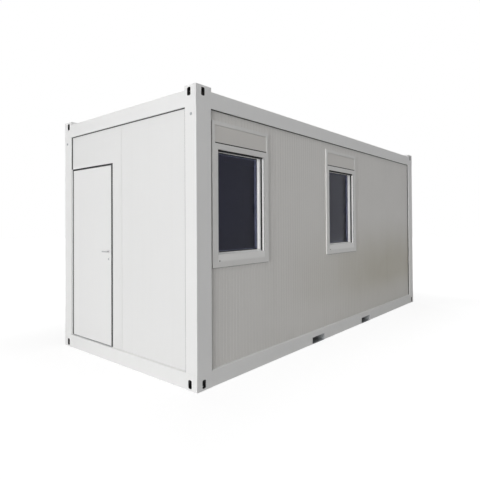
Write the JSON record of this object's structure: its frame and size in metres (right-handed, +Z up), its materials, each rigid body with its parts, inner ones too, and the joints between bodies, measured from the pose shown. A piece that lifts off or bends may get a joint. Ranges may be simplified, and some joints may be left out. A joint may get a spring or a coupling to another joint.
{
  "type": "shipping container cabin",
  "caption": "Steel-framed container cabin with sandwich wall panels, an inward-opening end door, shuttered windows in a long wall, corner castings and fork pockets.",
  "frame": {"origin": "on the ground under the middle of the cabin", "axes": "+X along the cabin from the door end to the back end, +Y across it from the window wall to the plain wall, +Z up"},
  "size_m": [6.076, 2.435, 2.896],
  "materials": {
    "frame_paint": "satin grey-white paint",
    "panel_paint": "satin grey-white coil coating",
    "door_paint": "satin grey-white paint",
    "galvanised_steel": "dull zinc",
    "floor_board": "raw board",
    "floor_vinyl": "matte sheet covering",
    "ceiling_board": "white coated board",
    "window_plastic": "satin white",
    "shutter_aluminium": "painted light grey",
    "window_glass": "clear",
    "handle_metal": "satin",
    "seal_rubber": "matte black"
  },
  "bodies": {
    "cabin": {"base_rail_door_end": "frame_paint", "base_rail_back_end": "frame_paint", "base_rail_window_side": "frame_paint", "base_rail_plain_side": "frame_paint", "base_castings": "frame_paint", "post_door_window": "frame_paint", "post_door_plain": "frame_paint", "post_back_window": "frame_paint", "post_back_plain": "frame_paint", "roof_rail_door_end": "frame_paint", "roof_rail_back_end": "frame_paint", "roof_rail_window_side": "frame_paint", "roof_rail_plain_side": "frame_paint", "roof_castings": "frame_paint", "door_end_panel": "panel_paint", "beside_door_panel": "panel_paint", "over_door_panel": "panel_paint", "back_end_panels": "panel_paint", "window_side_panels": "panel_paint", "near_window_panel": "panel_paint", "far_window_panel": "panel_paint", "plain_side_panels": "panel_paint", "door_frame": "door_paint", "fork_pockets": "galvanised_steel", "floor_joists": "galvanised_steel", "belly_sheets": "galvanised_steel", "roof_sheet": "galvanised_steel", "door_threshold": "galvanised_steel", "floor_deck": "floor_board", "floor_covering": "floor_vinyl", "ceiling": "ceiling_board", "near_casing": "window_plastic", "far_casing": "window_plastic", "near_shutter_box": "window_plastic", "far_shutter_box": "window_plastic", "near_sash": "window_plastic", "far_sash": "window_plastic", "shutter_bars": "shutter_aluminium", "near_glass": "window_glass", "far_glass": "window_glass", "window_handles": "handle_metal", "jamb_hinges": "handle_metal", "door_seal": "seal_rubber"},
    "door": {"door_leaf": "door_paint", "leaf_hinges": "handle_metal", "door_roses": "handle_metal"},
    "lever": {"door_lever": "handle_metal"}
  },
  "joints": [
    {"name": "door_swing", "type": "hinge", "parent": "cabin", "child": "door", "pos_m": [-2.9375, 1.0725, 1.2], "axis": [0, 0, 1], "range_deg": [0, 90]},
    {"name": "lever_turn", "type": "hinge", "parent": "door", "child": "lever", "pos_m": [-2.9815, 0.2405, 1.255], "axis": [-1, 0, 0], "range_deg": [0, 40], "stiffness_Nm_per_rad": 1.5, "springref_deg": -22.92}
  ]
}
